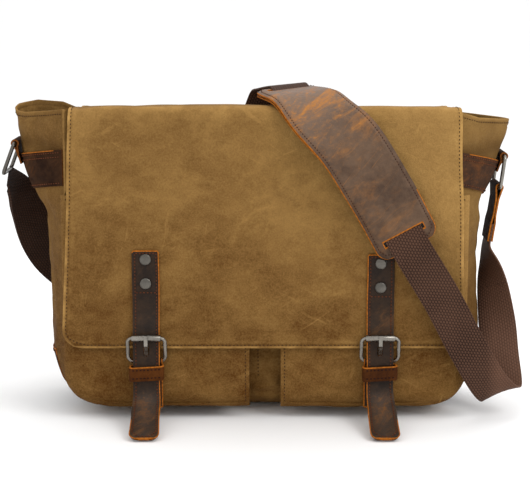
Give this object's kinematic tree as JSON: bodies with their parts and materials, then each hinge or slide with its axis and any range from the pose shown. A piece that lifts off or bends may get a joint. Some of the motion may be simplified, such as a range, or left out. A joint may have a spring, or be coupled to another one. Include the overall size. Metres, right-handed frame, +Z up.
{
  "type": "messenger bag",
  "caption": "Canvas messenger bag with a full front flap, buckled leather closing straps, pleated side gussets, metal side rings and a padded shoulder strap.",
  "frame": {"origin": "centre of the base's underside", "axes": "+X to the right seen from the front, +Y to the back, +Z up"},
  "size_m": [0.5296, 0.242, 0.3333],
  "materials": {
    "waxed_canvas": "matte waxed",
    "lining_cloth": "matte",
    "stiffener_board": "matte",
    "foam": "matte",
    "webbing": "matte woven",
    "pad_leather": "satin",
    "strap_leather": "satin",
    "keeper_leather": "satin",
    "satin_nickel": "satin"
  },
  "bodies": {
    "bag": {"front_panel": "waxed_canvas", "back_panel": "waxed_canvas", "base_panel": "waxed_canvas", "base_board": "stiffener_board", "flap_seam_strip": "waxed_canvas", "lining": "lining_cloth", "divider_pad": "foam", "gusset_left": "waxed_canvas", "base_patch_left": "strap_leather", "pocket_face_left": "waxed_canvas", "pocket_bellows_left": "waxed_canvas", "ring_band_left": "strap_leather", "ring_loop_left": "strap_leather", "snap_stud_left": "satin_nickel", "gusset_right": "waxed_canvas", "base_patch_right": "strap_leather", "pocket_face_right": "waxed_canvas", "pocket_bellows_right": "waxed_canvas", "ring_band_right": "strap_leather", "ring_loop_right": "strap_leather", "snap_stud_right": "satin_nickel", "strap_web_back": "webbing", "strap_web_return": "webbing", "strap_web_front": "webbing"},
    "flap": {"flap_shell": "waxed_canvas", "flap_lining": "lining_cloth", "flap_strap_left": "strap_leather", "strap_rivets_left": "satin_nickel", "buckle_frame_left": "satin_nickel", "buckle_chape_left": "strap_leather", "strap_keeper_left": "keeper_leather", "snap_socket_left": "satin_nickel", "flap_strap_right": "strap_leather", "strap_rivets_right": "satin_nickel", "buckle_frame_right": "satin_nickel", "buckle_chape_right": "strap_leather", "strap_keeper_right": "keeper_leather", "snap_socket_right": "satin_nickel", "shoulder_pad_leather": "pad_leather", "shoulder_pad_foam": "foam", "shoulder_pad_backing": "pad_leather", "strap_web_pad": "webbing"},
    "prong_left": {"buckle_prong_left": "satin_nickel"},
    "roller_left": {"buckle_roller_left": "satin_nickel"},
    "ring_left": {"side_ring_left": "satin_nickel"},
    "prong_right": {"buckle_prong_right": "satin_nickel"},
    "roller_right": {"buckle_roller_right": "satin_nickel"},
    "ring_right": {"side_ring_right": "satin_nickel"},
    "end_tab": {"strap_end_tab": "strap_leather"},
    "slider": {"strap_slider": "satin_nickel"}
  },
  "joints": [
    {"name": "flap_hinge", "type": "hinge", "parent": "bag", "child": "flap", "pos_m": [0, 0.057, 0.3014], "axis": [-1, 0, 0], "range_deg": [0, 110], "deforming": ["strap_web_back", "strap_web_front"]},
    {"name": "ring_left_swing", "type": "hinge", "parent": "bag", "child": "ring_left", "pos_m": [-0.2523, 0.005, 0.271], "axis": [0, 1, 0], "range_deg": [-12, 50], "deforming": ["strap_web_return"]},
    {"name": "ring_right_swing", "type": "hinge", "parent": "bag", "child": "ring_right", "pos_m": [0.2415, 0.005, 0.258], "axis": [0, -1, 0], "range_deg": [-1, 40]},
    {"name": "end_tab_swing", "type": "hinge", "parent": "ring_right", "child": "end_tab", "pos_m": [0.23754, 0.005, 0.22625], "axis": [0, -1, 0], "range_deg": [-1, 8]},
    {"name": "slider_travel", "type": "slide", "parent": "bag", "child": "slider", "axis": [0.3971, 0, 0.9178], "range_m": [-0.02, 0.02]},
    {"name": "prong_left_swing", "type": "hinge", "parent": "flap", "child": "prong_left", "pos_m": [-0.117, -0.0739, 0.061], "axis": [1, 0, 0], "range_deg": [0, 25]},
    {"name": "roller_left_turn", "type": "hinge", "parent": "flap", "child": "roller_left", "pos_m": [-0.117, -0.0805, 0.086], "axis": [1, 0, 0], "continuous": true},
    {"name": "prong_right_swing", "type": "hinge", "parent": "flap", "child": "prong_right", "pos_m": [0.1135, -0.0739, 0.061], "axis": [1, 0, 0], "range_deg": [0, 25]},
    {"name": "roller_right_turn", "type": "hinge", "parent": "flap", "child": "roller_right", "pos_m": [0.1135, -0.0805, 0.086], "axis": [1, 0, 0], "continuous": true}
  ]
}
